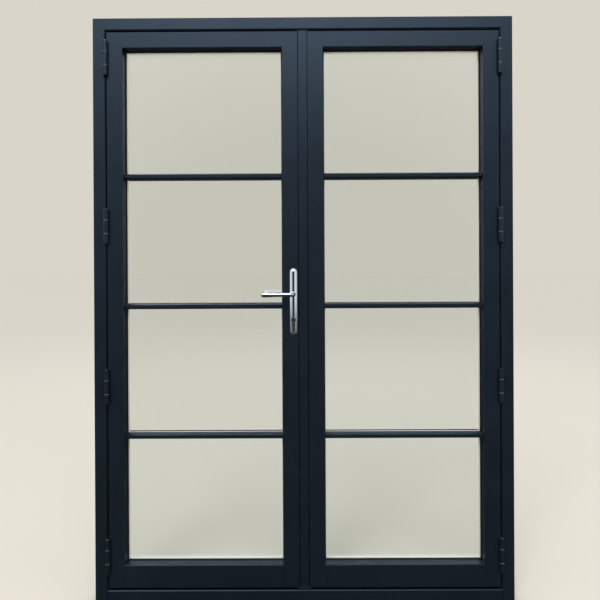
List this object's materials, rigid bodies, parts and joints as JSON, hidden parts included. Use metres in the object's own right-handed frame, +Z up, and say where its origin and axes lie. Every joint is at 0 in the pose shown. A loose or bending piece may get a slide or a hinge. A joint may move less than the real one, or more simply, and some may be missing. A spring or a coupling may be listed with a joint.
{
  "type": "french doors",
  "caption": "Pair of outward-opening aluminium French doors in their frame, each leaf glazed in equal panes with slim horizontal bars, with a lever handle on one meeting stile.",
  "frame": {"origin": "bottom centre of the frame, on the underside of the threshold and midway between the outer and room faces", "axes": "+X to the right seen from outside, +Y from the outside into the room, +Z up"},
  "size_m": [1.5, 0.182, 2.1],
  "materials": {
    "powder_coat": "satin anthracite grey polyester powder coat on aluminium",
    "polyamide": "black glass-filled polyamide",
    "mill_aluminium": "mill finish",
    "epdm": "black rubber, matt",
    "edge_sealant": "black edge sealant",
    "clear_glass": "clear float glass",
    "spacer_bar": "pale grey spacer bar",
    "packer_plastic": "moulded polypropylene packer",
    "stainless": "brushed stainless steel",
    "zinc_steel": "zinc-plated steel",
    "polished_chrome": "bright polished chrome plate",
    "nickel_brass": "satin nickel-plated brass",
    "hinge_pin_steel": "turned steel with a dark burnished head",
    "bearing_nylon": "grey acetal bearing ring"
  },
  "bodies": {
    "door_frame": {"frame_head": "powder_coat", "frame_jamb_left": "powder_coat", "frame_jamb_right": "powder_coat", "threshold": "powder_coat", "frame_thermal_strips": "polyamide", "frame_corner_cleats": "mill_aluminium", "frame_seal": "epdm", "bolt_keeps": "stainless", "frame_hinge_leaves": "powder_coat", "frame_hinge_screws": "stainless", "hinge_pins": "hinge_pin_steel", "hinge_washers": "bearing_nylon"},
    "active_leaf": {"active_hinge_stile": "powder_coat", "active_lock_stile": "powder_coat", "active_top_rail": "powder_coat", "active_bottom_rail": "powder_coat", "active_corner_cleats": "mill_aluminium", "active_panes": "clear_glass", "active_spacer": "spacer_bar", "active_unit_edge_seal": "edge_sealant", "active_glazing_beads": "powder_coat", "active_glazing_gaskets": "epdm", "active_glazing_bars": "powder_coat", "active_setting_blocks": "packer_plastic", "active_hinge_leaves": "powder_coat", "active_hinge_screws": "stainless", "active_thermal_strips": "polyamide", "lock_faceplate": "stainless", "lock_cases": "zinc_steel", "lock_cylinder": "nickel_brass", "outside_backplate": "polished_chrome", "inside_backplate": "polished_chrome", "backplate_screws": "stainless"},
    "passive_leaf": {"passive_hinge_stile": "powder_coat", "passive_meeting_stile": "powder_coat", "passive_top_rail": "powder_coat", "passive_bottom_rail": "powder_coat", "passive_corner_cleats": "mill_aluminium", "passive_panes": "clear_glass", "passive_spacer": "spacer_bar", "passive_unit_edge_seal": "edge_sealant", "passive_glazing_beads": "powder_coat", "passive_glazing_gaskets": "epdm", "passive_glazing_bars": "powder_coat", "passive_setting_blocks": "packer_plastic", "passive_hinge_leaves": "powder_coat", "passive_hinge_screws": "stainless", "passive_thermal_strips": "polyamide", "floating_mullion": "powder_coat", "mullion_end_caps": "polyamide", "meeting_seal": "epdm"},
    "lever_set": {"outside_lever": "polished_chrome", "inside_lever": "polished_chrome", "lever_spindle": "zinc_steel"},
    "latch": {"latch_bolt": "zinc_steel"},
    "bolts": {"lock_bolts": "zinc_steel"},
    "turn": {"thumbturn": "polished_chrome"},
    "upper_shoot_bolt": {"shoot_bolt_top": "stainless"},
    "lower_shoot_bolt": {"shoot_bolt_bottom": "stainless"}
  },
  "joints": [
    {"name": "active_leaf_swing", "type": "hinge", "parent": "door_frame", "child": "active_leaf", "pos_m": [-0.7035, -0.044, 1.05], "axis": [0, 0, -1], "range_deg": [0, 105]},
    {"name": "passive_leaf_swing", "type": "hinge", "parent": "door_frame", "child": "passive_leaf", "pos_m": [0.7035, -0.044, 1.05], "axis": [0, 0, 1], "range_deg": [0, 105]},
    {"name": "lever_turn", "type": "hinge", "parent": "active_leaf", "child": "lever_set", "pos_m": [-0.036, 0, 1.11], "axis": [0, -1, 0], "range_deg": [0, 40], "stiffness_Nm_per_rad": 1.2, "springref_deg": -28.65},
    {"name": "latch_slide", "type": "slide", "parent": "active_leaf", "child": "latch", "axis": [-1, 0, 0], "range_m": [0, 0.0105]},
    {"name": "thumbturn_turn", "type": "hinge", "parent": "active_leaf", "child": "turn", "pos_m": [-0.036, 0.05, 1.018], "axis": [0, 1, 0], "range_deg": [0, 180]},
    {"name": "lock_bolt_slide", "type": "slide", "parent": "active_leaf", "child": "bolts", "axis": [1, 0, 0], "range_m": [0, 0.02]},
    {"name": "upper_bolt_slide", "type": "slide", "parent": "passive_leaf", "child": "upper_shoot_bolt", "axis": [0, 0, 1], "range_m": [0, 0.016]},
    {"name": "lower_bolt_slide", "type": "slide", "parent": "passive_leaf", "child": "lower_shoot_bolt", "axis": [0, 0, -1], "range_m": [0, 0.016]}
  ],
  "couplings": [
    {"joint": "latch_slide", "follows": "lever_turn", "m_per_rad": 0.0143},
    {"joint": "thumbturn_turn", "follows": "lock_bolt_slide", "rad_per_m": 157}
  ]
}
